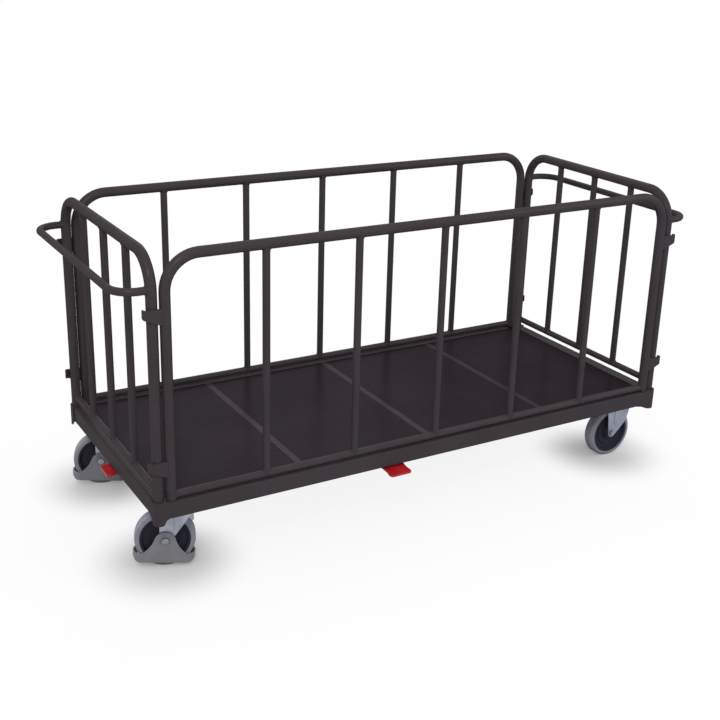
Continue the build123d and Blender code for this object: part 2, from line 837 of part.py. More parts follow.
def bearing_lug(x, y, turn):
    """Upright lug on a caster bed with the hole of a shaft along X, or along Y when turned."""
    low = (-lug_thickness / 2, -lug_width / 2, bed_top)
    high = (lug_thickness / 2, lug_width / 2, shaft_z + lug_crown)
    hole = lengthwise(0, shaft_z, lug_thickness, shaft_diameter + 2 * running_clearance)
    return Pos(x, y, 0) * Rot(0, 0, turn) * (block(low, high) - hole)


def bearing_lugs():
    lugs = []
    for side in (-1, 1):
        lugs.append(bearing_lug(-lug_station(), side * brake_y, 0))
        lugs.append(bearing_lug(-brake_x, side * (caster_y - lug_spacing), 90))
    return lugs


def plunger():
    """Rod through the kingpin with a head for the lever and a shoe over the tyre; the axle is at X = 0."""
    head_top = shaft_z - lever_thickness / 2 - seat_clearance
    shoe_top = kingpin_bottom - seat_clearance
    shoe = Pos(swivel_trail, 0, shoe_top) * Box(shoe_length, shoe_width, wheel_radius / 2, align=(
        Align.CENTER, Align.CENTER, Align.MAX))
    tyre_z = wheel_radius + plunger_travel
    shoe -= crosswise(0, tyre_z, shoe_width, wheel_diameter + 2 * shoe_clearance)
    stem = post(swivel_trail, 0, shoe_top, head_top, plunger_diameter)
    head = post(swivel_trail, 0, head_top - plunger_head_height, head_top, plunger_head)
    return shoe + stem + head


# Fasteners of the casters

def caster_bolt(x, y):
    """Hexagon bolt up through the caster plate and the bed, with its nut."""
    bolt = Pos(x, y, plate_bottom - bolt_head_height) * hexagon(bolt_head_width, bolt_head_height)
    top = bed_top + bolt_head_height
    bolt += post(x, y, plate_bottom, top, bolt_diameter)
    nut = Pos(x, y, bed_top) * hexagon(bolt_head_width, bolt_head_height)
    return [bolt, nut - post(x, y, bed_top, top, bolt_diameter)]


# Placing of the sub-assemblies

def at_swivel(shape, side):
    """Move a caster piece drawn about its wheel to a swivel caster, turned as it stands at rest."""
    turn = Pos(-swivel_station, side * caster_y, 0) * Rot(0, 0, swivel_yaw)
    return turn * (Pos(-swivel_trail, 0, 0) * shape)


def at_fixed(shape, side):
    return Pos(fixed_axle_x, side * caster_y, 0) * shape


def at_axle(shape):
    return Pos(0, 0, wheel_radius) * shape


def mirrored_y(shape):
    return mirror(shape, about=Plane.XZ)


def group(solids):
    return Compound(children=list(solids))


def platform_nodes():
    front = long_rail()
    rear = mirrored_y(front)
    left = end_rail()
    nodes = {
        "front_rail": front,
        "rear_rail": rear,
        "left_rail": left,
        "right_rail": mirror(left, about=Plane.YZ),
        "cross_members": group(cross_member(x, [front, rear]) for x in member_stations()),
        "corner_pockets": group(corner_pockets()),
    }
    for index in range(board_count):
        nodes[f"deck_board_{index + 1}"] = deck_board(index)
    swivel_bed = mirror(caster_bed(swivel_station, lug_station(), True), about=Plane.YZ)
    fixed_bed = caster_bed(fixed_station, fixed_station - plate_length / 2, False)
    nodes["caster_beds"] = group([swivel_bed, mirrored_y(swivel_bed), fixed_bed, mirrored_y(fixed_bed)])
    nodes["brake_lugs"] = group(bearing_lugs())
    return nodes


def end_frame_nodes():
    pieces = {
        "end_hoop": [end_hoop()],
        "end_rail": [end_bottom_rail()],
        "end_bars": end_bars(),
        "handle": [handle()],
    }
    nodes = {}
    for name, solids in pieces.items():
        nodes[f"right_{name}"] = group(solids)
        nodes[f"left_{name}"] = group(mirror(each, about=Plane.YZ) for each in solids)
    return nodes


def side_panel_nodes():
    clips = [hook(top) for top in hook_tops]
    clips += [mirror(clip, about=Plane.YZ) for clip in clips]
    pieces = {
        "panel_hoop": [side_hoop()],
        "panel_rail": [side_bottom_rail()],
        "panel_bars": side_bars(),
        "panel_hooks": clips,
    }
    nodes = {}
    for name, solids in pieces.items():
        nodes[f"front_{name}"] = group(solids)
        nodes[f"rear_{name}"] = group(mirrored_y(each) for each in solids)
    return nodes


def caster_nodes():
    wheel = {
        "tyre": wheel_tyre(),
        "hub": wheel_hub(),
        "bearing": wheel_bearing(),
    }
    swivel_axle = [at_axle(each) for each in axle_set(guard_seat)]
    fixed_axle = [at_axle(each) for each in axle_set(fork_outer)]
    nodes = {}
    bolts = []
    fixed_axles = []
    for side, row in ((-1, "front"), (1, "rear")):
        nodes[f"{row}_swivel_plate"] = Pos(-swivel_station, side * caster_y, 0) * swivel_plate()
        nodes[f"{row}_fork"] = at_swivel(swivel_fork(), side)
        nodes[f"{row}_foot_guard"] = at_swivel(foot_guard(), side)
        nodes[f"{row}_axle"] = group(at_swivel(each, side) for each in swivel_axle)
        nodes[f"{row}_plunger"] = at_swivel(plunger(), side)
        nodes[f"{row}_fixed_bracket"] = at_fixed(fixed_bracket(), side)
        fixed_axles += [at_fixed(each, side) for each in fixed_axle]
        for name, solid in wheel.items():
            nodes[f"{row}_left_{name}"] = at_swivel(at_axle(solid), side)
            nodes[f"{row}_right_{name}"] = at_fixed(at_axle(solid), side)
        for station in (-swivel_station, fixed_station):
            for x, y in plate_bolt_places(station, side * caster_y):
                bolts += caster_bolt(x, y)
    nodes["fixed_axles"] = group(fixed_axles)
    nodes["caster_bolts"] = group(bolts)
    return nodes


def brake_nodes():
    front_pedal = Pos(pedal_station, -brake_y, shaft_z) * pedal(side_shaft_inset, pedal_overhang)
    front_shaft = Pos(0, -brake_y, shaft_z) * long_shaft()
    to_left_end = Pos(-brake_x, 0, shaft_z) * Rot(0, 0, -90)
    end_pedal = pedal(half_length - brake_x, end_pedal_overhang)
    return {
        "front_pedal": front_pedal,
        "front_brake_shaft": front_shaft,
        "rear_pedal": mirrored_y(front_pedal),
        "rear_brake_shaft": mirrored_y(front_shaft),
        "left_pedal": to_left_end * (Pos(-end_pedal_station, 0, 0) * end_pedal),
        "left_brake_shaft": to_left_end * cross_shaft(),
    }


def main():
    os.makedirs("parts", exist_ok=True)
    nodes = {**platform_nodes(), **end_frame_nodes(), **side_panel_nodes(), **caster_nodes(), **brake_nodes()}
    for name, shape in nodes.items():
        export_step(shape, f"parts/{name}.step")


main()
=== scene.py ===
"""Looks of a four-sided platform trolley: finishes, welds, rim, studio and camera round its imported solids."""

import json
import math

import bmesh
import bpy
from mathutils import Matrix, Vector


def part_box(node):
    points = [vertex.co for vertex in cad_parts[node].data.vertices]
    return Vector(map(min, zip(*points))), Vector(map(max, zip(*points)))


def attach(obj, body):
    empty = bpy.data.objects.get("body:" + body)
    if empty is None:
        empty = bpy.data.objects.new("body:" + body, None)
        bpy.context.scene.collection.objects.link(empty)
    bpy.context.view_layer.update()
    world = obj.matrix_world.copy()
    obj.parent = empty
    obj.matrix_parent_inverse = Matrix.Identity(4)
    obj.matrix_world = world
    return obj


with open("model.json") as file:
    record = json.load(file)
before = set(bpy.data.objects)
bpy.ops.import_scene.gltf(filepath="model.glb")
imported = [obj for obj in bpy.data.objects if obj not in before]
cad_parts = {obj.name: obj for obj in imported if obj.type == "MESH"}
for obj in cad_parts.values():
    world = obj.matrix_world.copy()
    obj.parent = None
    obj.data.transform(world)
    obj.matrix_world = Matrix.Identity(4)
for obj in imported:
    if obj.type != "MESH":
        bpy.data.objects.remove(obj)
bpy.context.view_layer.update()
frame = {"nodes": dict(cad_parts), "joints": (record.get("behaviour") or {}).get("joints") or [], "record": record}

# Sizes, in metres, and counts that the frame doesn't give

leg_radius = 0.014
bar_radius = 0.010
wheel_radius = 0.080
end_bar_count = 3
side_bar_count = 5
weld_bead = 0.0024
weld_ripple = 0.0012
strip_width = 0.0245
strip_height = 0.0006
strip_corner = 0.004
strip_edge = 0.0002
strip_gap = 0.001


# Places of the tubes, boards and wheels, from the frame

def middle(node):
    """Middle of a node's box."""
    low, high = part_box(node)
    return (Vector(low) + Vector(high)) / 2


def high_corner(node):
    """Highest corner of a node's box."""
    return Vector(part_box(node)[1])


end_leg_x = middle("right_end_hoop").x
end_leg_y = high_corner("right_end_hoop").y - leg_radius
side_leg_x = high_corner("rear_panel_hoop").x - leg_radius
side_leg_y = middle("rear_panel_hoop").y
top_run_z = high_corner("right_end_hoop").z - leg_radius
end_rail_z = middle("right_end_rail").z
side_rail_z = middle("rear_panel_rail").z
handle_z = middle("right_handle").z
board_high = high_corner("deck_board_4")
rim_x = board_high.x - strip_width
rim_y = board_high.y - strip_width
wheels = {
    joint["name"].removesuffix("_wheel_spin"): (joint["pos_m"], joint["axis"])
    for joint in frame["joints"]
    if joint["name"].endswith("_wheel_spin")
}

# Photographed view, in metres, degrees and pixels, with the sensor's width in millimetres

camera_place = Vector((-1.6855, -2.7516, 1.5990))
camera_azimuth = math.radians(-31.1255)
camera_elevation = math.radians(19.6504)
camera_roll = math.radians(1.7527)
camera_reach = 200.0
picture_width = 720.0
focal_pixels = 1131.114
centre_pixel_x = 367.808
centre_pixel_y = 332.935
sensor_width = 36.0


# Node helpers

def put(tree, kind, inputs=None, **settings):
    """Add a node, set its properties, then fill or link its inputs."""
    node = tree.nodes.new(kind)
    for name, value in settings.items():
        setattr(node, name, value)
    for name, value in (inputs or {}).items():
        socket = node.inputs[name]
        if isinstance(value, bpy.types.NodeSocket):
            tree.links.new(value, socket)
        else:
            socket.default_value = value
    return node


def math_of(tree, operation, first, second=0.0, third=0.0):
    """Output of a Math node."""
    node = put(tree, "ShaderNodeMath", {0: first, 1: second, 2: third}, operation=operation)
    return node.outputs[0]


def vector_of(tree, operation, first, second=(0.0, 0.0, 0.0)):
    """Output of a Vector Math node: a value for a dot product or a length, or else a vector."""
    node = put(tree, "ShaderNodeVectorMath", {0: first, 1: second}, operation=operation)
    return node.outputs["Value" if operation in ("DOT_PRODUCT", "LENGTH") else "Vector"]


def stretched(tree, direction, length):
    """A direction times a length."""
    node = put(tree, "ShaderNodeVectorMath", {0: direction, "Scale": length}, operation="SCALE")
    return node.outputs["Vector"]


def ramp(tree, value, low, high, from_low=0.0, from_high=1.0):
    """A value carried smoothly from one range to another."""
    inputs = {"Value": value, "From Min": from_low, "From Max": from_high, "To Min": low, "To Max": high}
    return put(tree, "ShaderNodeMapRange", inputs, interpolation_type="SMOOTHSTEP").outputs["Result"]


def colours(tree, share, first, second):
    """Mix of two colours."""
    node = put(tree, "ShaderNodeMix", {0: share, 6: first, 7: second}, data_type="RGBA")
    return node.outputs[2]


def laid_over(tree, base, colour, mask, strength):
    """A base with a colour laid over it where the mask is, at most as strongly as given."""
    return colours(tree, math_of(tree, "MULTIPLY", mask, strength), base, colour)


def noise(tree, place, scale, detail=2.0, roughness=0.5):
    """Cloudy pattern with values from 0 to 1."""
    inputs = {"Vector": place, "Scale": scale, "Detail": detail, "Roughness": roughness}
    return put(tree, "ShaderNodeTexNoise", inputs).outputs["Fac"]


def object_place(tree):
    """Place on the piece, which is the place in the frame at rest."""
    return put(tree, "ShaderNodeTexCoord").outputs["Object"]


number_socket = "NodeSocketFloat"
vector_socket = "NodeSocketVector"


def shader_group(name, inputs, outputs):
    """Empty shader node group with named sockets; returns it with its given values and its results."""
    group = bpy.data.node_groups.new(name, "ShaderNodeTree")
    for label, kind, value in inputs:
        socket = group.interface.new_socket(name=label, in_out="INPUT", socket_type=kind)
        socket.default_value = value
    for label, kind in outputs:
        group.interface.new_socket(name=label, in_out="OUTPUT", socket_type=kind)
    start = group.nodes.new("NodeGroupInput")
    end = group.nodes.new("NodeGroupOutput")
    return group, start.outputs, end.inputs


# Effects shared by several finishes

def make_grain():
    """Fine surface grain, and a broad, slow change of tone."""
    inputs = [
        ("Fine Scale", number_socket, 900.0),
        ("Broad Scale", number_socket, 7.0),
        ("Contrast", number_socket, 0.5),
    ]
    outputs = [("Height", number_socket), ("Tone", number_socket)]
    group, given, out = shader_group("surface_grain", inputs, outputs)
    place = object_place(group)
    fine = noise(group, place, given["Fine Scale"], detail=3.0)
    broad = noise(group, place, given["Broad Scale"], detail=4.0, roughness=0.6)
    half_span = math_of(group, "MULTIPLY", given["Contrast"], 0.5)
    low = math_of(group, "SUBTRACT", 0.5, half_span)
    high = math_of(group, "ADD", 0.5, half_span)
    group.links.new(fine, out["Height"])
    group.links.new(ramp(group, broad, 0.0, 1.0, from_low=low, from_high=high), out["Tone"])
    return group


def make_edge_wear():
    """Rounded edges, and a broken mask of where a coat is rubbed along them."""
    inputs = [
        ("Width", number_socket, 0.0015),
        ("Patch Scale", number_socket, 60.0),
        ("Cover", number_socket, 0.5),
    ]
    outputs = [("Mask", number_socket), ("Rounded Normal", vector_socket)]
    group, given, out = shader_group("edge_wear", inputs, outputs)
    rounded = put(group, "ShaderNodeBevel", {"Radius": given["Width"]}, samples=6).outputs["Normal"]
    flat = put(group, "ShaderNodeNewGeometry").outputs["Normal"]
    agreement = vector_of(group, "DOT_PRODUCT", rounded, flat)
    edge = ramp(group, agreement, 1.0, 0.0, from_low=0.75, from_high=0.985)
    patches = noise(group, object_place(group), given["Patch Scale"], detail=4.0, roughness=0.65)
    uncovered = math_of(group, "SUBTRACT", 1.0, given["Cover"])
    broken = ramp(group, patches, 0.0, 1.0, from_low=uncovered, from_high=0.75)
    group.links.new(math_of(group, "MULTIPLY", edge, broken), out["Mask"])
    group.links.new(rounded, out["Rounded Normal"])
    return group


def make_scuffs():
    """Sparse long scratches, mostly one way and some across."""
    cross_angle = 1.1
    cross_strength = 0.7
    softness = 0.08
    inputs = [("Stretch", vector_socket, (20.0, 160.0, 60.0)), ("Sparseness", number_socket, 0.62)]
    group, given, out = shader_group("scuffs", inputs, [("Mask", number_socket)])
    place = object_place(group)
    turn = {"Vector": place, "Rotation": (0.0, 0.0, cross_angle)}
    cross_place = put(group, "ShaderNodeMapping", turn).outputs["Vector"]
    start = given["Sparseness"]
    full = math_of(group, "ADD", start, softness)
    masks = []
    for way, strength in ((place, 1.0), (cross_place, cross_strength)):
        streaks = noise(group, vector_of(group, "MULTIPLY", way, given["Stretch"]), 1.0)
        masks.append(ramp(group, streaks, 0.0, strength, from_low=start, from_high=full))
    group.links.new(math_of(group, "MAXIMUM", *masks), out["Mask"])
    return group


def make_dust():
    """Patchy dust that lies on faces turned upwards."""
    upwards = (0.0, 0.0, 1.0)
    inputs = [("Patch Scale", number_socket, 5.0)]
    group, given, out = shader_group("settled_dust", inputs, [("Mask", number_socket)])
    normal = put(group, "ShaderNodeNewGeometry").outputs["Normal"]
    level = vector_of(group, "DOT_PRODUCT", normal, upwards)
    patches = noise(group, object_place(group), given["Patch Scale"], detail=6.0, roughness=0.65)
    lying = ramp(group, level, 0.0, 1.0, from_low=0.55, from_high=1.0)
    cloudy = ramp(group, patches, 0.0, 1.0, from_low=0.35, from_high=0.75)
    group.links.new(math_of(group, "MULTIPLY", lying, cloudy), out["Mask"])
    return group


def make_turned():
    """Distance from a wheel's axle and along it, with fine rings about the axle."""
    inputs = [
        ("Centre", vector_socket, (0.0, 0.0, 0.0)),
        ("Axle", vector_socket, (0.0, 1.0, 0.0)),
        ("Ring Pitch", number_socket, 0.002),
    ]
    outputs = [("Radius", number_socket), ("Along", number_socket), ("Rings", number_socket)]
    group, given, out = shader_group("turned_rings", inputs, outputs)
    place = vector_of(group, "SUBTRACT", object_place(group), given["Centre"])
    along = vector_of(group, "DOT_PRODUCT", place, given["Axle"])
    from_axle = vector_of(group, "SUBTRACT", place, stretched(group, given["Axle"], along))
    radius = vector_of(group, "LENGTH", from_axle)
    turns = math_of(group, "DIVIDE", radius, given["Ring Pitch"])
    wave = math_of(group, "SINE", math_of(group, "MULTIPLY", turns, 2 * math.pi))
    group.links.new(radius, out["Radius"])
    group.links.new(along, out["Along"])
    group.links.new(ramp(group, wave, 0.0, 1.0, from_low=-1.0, from_high=1.0), out["Rings"])
    return group


grain = make_grain()
edge_wear = make_edge_wear()
scuffs = make_scuffs()
dust = make_dust()
turned = make_turned()


# Colours, and pairs of a darker and a paler tone for what changes over a surface

def tone(red, green, blue):
    """Opaque colour, in linear values."""
    return (red, green, blue, 1.0)


white = tone(1.0, 1.0, 1.0)
anthracite = (tone(0.0420, 0.0338, 0.0382), tone(0.0490, 0.0402, 0.0452))
# Darker copy of the coat for the cross members: painted shade
shaded_anthracite = (tone(0.0310, 0.0212, 0.0272), tone(0.0365, 0.0258, 0.0324))
# Paler copy of the coat for the rim strips: painted light against the shade of the tubes above them
lit_anthracite = (tone(0.0585, 0.0480, 0.0535), tone(0.0680, 0.0565, 0.0630))
coat_fleck = tone(0.090, 0.080, 0.084)
coat_dust = tone(0.20, 0.18, 0.17)
coat_rub = tone(0.17, 0.16, 0.16)
board_film = (tone(0.0207, 0.0147, 0.0190), tone(0.0241, 0.0176, 0.0224))
board_scuff = tone(0.10, 0.09, 0.09)
board_dust = tone(0.18, 0.16, 0.15)
board_rim_dark = tone(0.010, 0.007, 0.009)
zinc = (tone(0.225, 0.244, 0.300), tone(0.286, 0.306, 0.373))
# Paler copy of the zinc for the swivel forks: painted light on forks that sit in shade under the frame
lit_zinc = (tone(0.300, 0.312, 0.365), tone(0.385, 0.400, 0.460))
bright_steel = (tone(0.22, 0.23, 0.27), tone(0.31, 0.32, 0.36))
plate_scratch = tone(0.60, 0.61, 0.64)
plate_edge = tone(0.80, 0.81, 0.83)
hub_black = (tone(0.0255, 0.0252, 0.0370), tone(0.0335, 0.0330, 0.0485))
hub_rub = tone(0.09, 0.09, 0.10)
tyre_grey = (tone(0.230, 0.228, 0.272), tone(0.280, 0.278, 0.328))
tread_chafe_and_light = tone(0.370, 0.362, 0.425)
tread_dirt = tone(0.21, 0.20, 0.22)
guard_grey = (tone(0.210, 0.210, 0.230), tone(0.248, 0.248, 0.271))
guard_scuff = tone(0.34, 0.35, 0.37)
guard_rub = tone(0.33, 0.34, 0.37)
pedal_red = (tone(0.375, 0.0078, 0.0118), tone(0.465, 0.0112, 0.0168))
pedal_scuff = tone(0.16, 0.02, 0.02)
pedal_chip = tone(0.48, 0.14, 0.13)

satin_gloss = {"coat_weight": 0.07, "coat_ior": 2.0, "coat_roughness": 0.26}
film_gloss = {"coat_weight": 0.04, "coat_ior": 1.6, "coat_roughness": 0.26}


# Finishes

def finish(name, **values):
    """New material; returns it with its tree and its shader, whose plain values are set by name."""
    material = bpy.data.materials.new(name)
    material.use_nodes = True
    shader = material.node_tree.nodes["Principled BSDF"]
    for label, value in values.items():
        shader.inputs[label.replace("_", " ").title().replace("Ior", "IOR")].default_value = value
    return material, material.node_tree, shader


def use(tree, group, **inputs):
    """Place a shared effect in a material, and return its outputs."""
    named = {label.replace("_", " ").title(): value for label, value in inputs.items()}
    return put(tree, "ShaderNodeGroup", named, node_tree=group).outputs


def dress(tree, shader, colour, roughness, height, strength, depth, normal=None):
    """Link colour, roughness and a bump, on the given normal, to the shader."""
    bump = {"Height": height, "Strength": strength, "Distance": depth}
    if normal is not None:
        bump["Normal"] = normal
    relief = put(tree, "ShaderNodeBump", bump)
    tree.links.new(colour, shader.inputs["Base Color"])
    tree.links.new(roughness, shader.inputs["Roughness"])
    tree.links.new(relief.outputs["Normal"], shader.inputs["Normal"])


def powder_coat(name, tones):
    """Satin powder coat with a slight orange peel and pale flecks, rubbed a little along its edges."""
    material, tree, shader = finish(name, specular_ior_level=0.0, **satin_gloss)
    texture = use(tree, grain, fine_scale=700.0, broad_scale=6.0, contrast=0.4)
    wear = use(tree, edge_wear, width=0.0016, patch_scale=45.0, cover=0.55)
    lying = use(tree, dust, patch_scale=9.0)
    coat = colours(tree, texture["Tone"], *tones)
    flecks = ramp(tree, texture["Height"], 0.0, 0.22, from_low=0.48, from_high=0.70)
    flecked = colours(tree, flecks, coat, coat_fleck)
    dusty = laid_over(tree, flecked, coat_dust, lying["Mask"], strength=0.03)
    dress(
        tree,
        shader,
        colour=laid_over(tree, dusty, coat_rub, wear["Mask"], strength=0.16),
        roughness=ramp(tree, texture["Tone"], 0.44, 0.54),
        height=texture["Height"],
        strength=0.25,
        depth=0.00025,
        normal=wear["Rounded Normal"],
    )
    return material


def beside_rim(tree):
    """Distance on the boards from the rim's inner edge."""
    place = put(tree, "ShaderNodeSeparateXYZ", {"Vector": object_place(tree)}).outputs
    from_end = math_of(tree, "SUBTRACT", rim_x, math_of(tree, "ABSOLUTE", place["X"]))
    from_side = math_of(tree, "SUBTRACT", rim_y, math_of(tree, "ABSOLUTE", place["Y"]))
    return math_of(tree, "MINIMUM", from_end, from_side)


def faced_board(name):
    """Dark film-faced board: a fine wire imprint, faint clouds, light scuffs, and darker towards the rim's inner
    edge.
    """
    material, tree, shader = finish(name, specular_ior_level=0.0, **film_gloss)
    texture = use(tree, grain, fine_scale=420.0, broad_scale=4.5, contrast=0.45)
    marks = use(tree, scuffs, stretch=(14.0, 130.0, 40.0), sparseness=0.66)
    lying = use(tree, dust, patch_scale=3.5)
    wires = {"Vector": object_place(tree), "Scale": 380.0, "Randomness": 0.12}
    mesh = put(tree, "ShaderNodeTexVoronoi", wires).outputs["Distance"]
    imprint = ramp(tree, mesh, 0.0, 1.0, from_low=0.1, from_high=0.6)
    film = colours(tree, texture["Tone"], *board_film)
    scuffed = laid_over(tree, film, board_scuff, marks["Mask"], strength=0.06)
    dusty = laid_over(tree, scuffed, board_dust, lying["Mask"], strength=0.02)
    # Darker towards the rim strips' inner edge
    rim_darkening = ramp(tree, beside_rim(tree), 0.65, 0.0, from_low=0.002, from_high=0.014)
    dress(
        tree,
        shader,
        colour=colours(tree, rim_darkening, dusty, board_rim_dark),
        roughness=ramp(tree, texture["Tone"], 0.46, 0.38),
        height=math_of(tree, "MULTIPLY_ADD", texture["Height"], 0.4, imprint),
        strength=0.22,
        depth=0.0003,
    )
    return material


def plated(name, tones, smoothest, roughest, edge_strength):
    """Plated steel, clouded and a little scratched, with brighter edges."""
    material, tree, shader = finish(name, metallic=1.0)
    texture = use(tree, grain, fine_scale=520.0, broad_scale=26.0, contrast=0.5)
    wear = use(tree, edge_wear, width=0.0010, patch_scale=90.0, cover=0.7)
    marks = use(tree, scuffs, stretch=(160.0, 520.0, 34.0), sparseness=0.62)
    plate = colours(tree, texture["Tone"], *tones)
    scratched = laid_over(tree, plate, plate_scratch, marks["Mask"], strength=0.14)
    dress(
        tree,
        shader,
        colour=laid_over(tree, scratched, plate_edge, wear["Mask"], edge_strength),
        roughness=ramp(tree, texture["Tone"], roughest, smoothest),
        height=texture["Height"],
        strength=0.15,
        depth=0.0002,
        normal=wear["Rounded Normal"],
    )
    return material


def wheel_hub(name, centre, axle):
    """Moulded black plastic with faint turned rings about the axle."""
    material, tree, shader = finish(name, metallic=0.0, specular_ior_level=0.07)
    texture = use(tree, grain, fine_scale=1100.0, broad_scale=30.0, contrast=0.5)
    wear = use(tree, edge_wear, width=0.0012, patch_scale=80.0, cover=0.5)
    rings = use(tree, turned, centre=centre, axle=axle, ring_pitch=0.0016)
    plastic = colours(tree, texture["Tone"], *hub_black)
    dress(
        tree,
        shader,
        colour=laid_over(tree, plastic, hub_rub, wear["Mask"], strength=0.25),
        roughness=ramp(tree, texture["Tone"], 0.42, 0.55),
        height=math_of(tree, "MULTIPLY_ADD", rings["Rings"], 0.35, texture["Height"]),
        strength=0.18,
        depth=0.0002,
        normal=wear["Rounded Normal"],
    )
    return material


def wheel_tyre(name, centre, axle):
    """Grey elastic tyre: moulded rings on its flanks, a scuffed tread made paler partly as painted light, and a
    mould line round its middle.
    """
    flank_end = wheel_radius - 0.0035
    tread_start = wheel_radius - 0.0008
    material, tree, shader = finish(name, metallic=0.0, specular_ior_level=0.2)
    texture = use(tree, grain, fine_scale=800.0, broad_scale=34.0, contrast=0.45)
    rings = use(tree, turned, centre=centre, axle=axle, ring_pitch=0.0022)
    rubber = colours(tree, texture["Tone"], *tyre_grey)
    tread = ramp(tree, rings["Radius"], 0.0, 1.0, from_low=flank_end, from_high=tread_start)
    # Paler tread: chafe, and painted light against the shade it sits in
    chafed_and_lit = laid_over(tree, rubber, tread_chafe_and_light, tread, strength=0.8)
    patches = noise(tree, object_place(tree), 70.0, detail=5.0, roughness=0.65)
    dirty = ramp(tree, patches, 0.0, 0.35, from_low=0.4, from_high=0.7)
    flank = math_of(tree, "SUBTRACT", 1.0, tread)
    ridges = math_of(tree, "MULTIPLY", rings["Rings"], flank)
    relief = math_of(tree, "MULTIPLY_ADD", texture["Height"], 0.6, ridges)
    from_middle = math_of(tree, "ABSOLUTE", rings["Along"])
    mould_line = ramp(tree, from_middle, 1.0, 0.0, from_low=0.0002, from_high=0.0007)
    dress(
        tree,
        shader,
        colour=laid_over(tree, chafed_and_lit, tread_dirt, tread, dirty),
        roughness=ramp(tree, texture["Tone"], 0.62, 0.78),
        height=math_of(tree, "MULTIPLY_ADD", mould_line, tread, relief),
        strength=0.25,
        depth=0.0003,
    )
    return material


def guard_plastic(name):
    """Moulded grey plastic with an eroded grain, paler where shoes have rubbed it."""
    material, tree, shader = finish(name, metallic=0.0, specular_ior_level=0.3)
    texture = use(tree, grain, fine_scale=950.0, broad_scale=22.0, contrast=0.45)
    wear = use(tree, edge_wear, width=0.0015, patch_scale=70.0, cover=0.6)
    marks = use(tree, scuffs, stretch=(40.0, 40.0, 220.0), sparseness=0.63)
    plastic = colours(tree, texture["Tone"], *guard_grey)
    scuffed = laid_over(tree, plastic, guard_scuff, marks["Mask"], strength=0.16)
    dress(
        tree,
        shader,
        colour=laid_over(tree, scuffed, guard_rub, wear["Mask"], strength=0.35),
        roughness=ramp(tree, texture["Tone"], 0.46, 0.58),
        height=texture["Height"],
        strength=0.22,
        depth=0.00025,
        normal=wear["Rounded Normal"],
    )
    return material


def pedal_paint(name):
    """Red paint, chipped and paler along its edges, with dark scuffs where feet press it."""
    material, tree, shader = finish(name, metallic=0.0, specular_ior_level=0.35)
    texture = use(tree, grain, fine_scale=600.0, broad_scale=24.0, contrast=0.5)
    wear = use(tree, edge_wear, width=0.0014, patch_scale=150.0, cover=0.5)
    marks = use(tree, scuffs, stretch=(60.0, 260.0, 120.0), sparseness=0.62)
    paint = colours(tree, texture["Tone"], *pedal_red)
    scuffed = laid_over(tree, paint, pedal_scuff, marks["Mask"], strength=0.18)
    dress(
        tree,
        shader,
        colour=laid_over(tree, scuffed, pedal_chip, wear["Mask"], strength=0.35),
        roughness=ramp(tree, texture["Tone"], 0.30, 0.42),
        height=texture["Height"],
        strength=0.18,
        depth=0.0002,
        normal=wear["Rounded Normal"],
    )
    return material


zinc_sheen = {"smoothest": 0.36, "roughest": 0.48, "edge_strength": 0.25}
bright_sheen = {"smoothest": 0.20, "roughest": 0.30, "edge_strength": 0.2}
frame_coat = powder_coat("anthracite_powder_coat", anthracite)
# Darker copy of the coat, painted shade on the cross members
shaded_coat = powder_coat("shaded_powder_coat", shaded_anthracite)
# Paler copy of the coat, painted light on the rim strips
lit_coat = powder_coat("lit_powder_coat", lit_anthracite)
# Paler copy of the zinc, painted light on the swivel forks
lit_fork_plate = plated("lit_zinc_plate", lit_zinc, **zinc_sheen)
slot_finishes = {
    "frame_paint": frame_coat,
    "deck_board": faced_board("dark_faced_board"),
    "zinc_steel": plated("zinc_plate", zinc, **zinc_sheen),
    "bright_steel": plated("bright_plate", bright_steel, **bright_sheen),
    "guard_grey": guard_plastic("guard_grey_plastic"),
    "pedal_red": pedal_paint("pedal_red_paint"),
}
node_finishes = {"cross_members": shaded_coat, "front_fork": lit_fork_plate, "rear_fork": lit_fork_plate}
for wheel, (centre, axle) in wheels.items():
    node_finishes[wheel + "_hub"] = wheel_hub(wheel + "_hub_plastic", centre, axle)
    node_finishes[wheel + "_tyre"] = wheel_tyre(wheel + "_tyre_rubber", centre, axle)

for part in frame["record"]["subparts"]:
    node = frame["nodes"][part["node"]]
    coat = node_finishes.get(part["node"]) or slot_finishes[part["material_slot"]]
    for holder in node.material_slots:
        holder.material = coat


# Welds, grown by a node tree on the places where one tube is coped to another

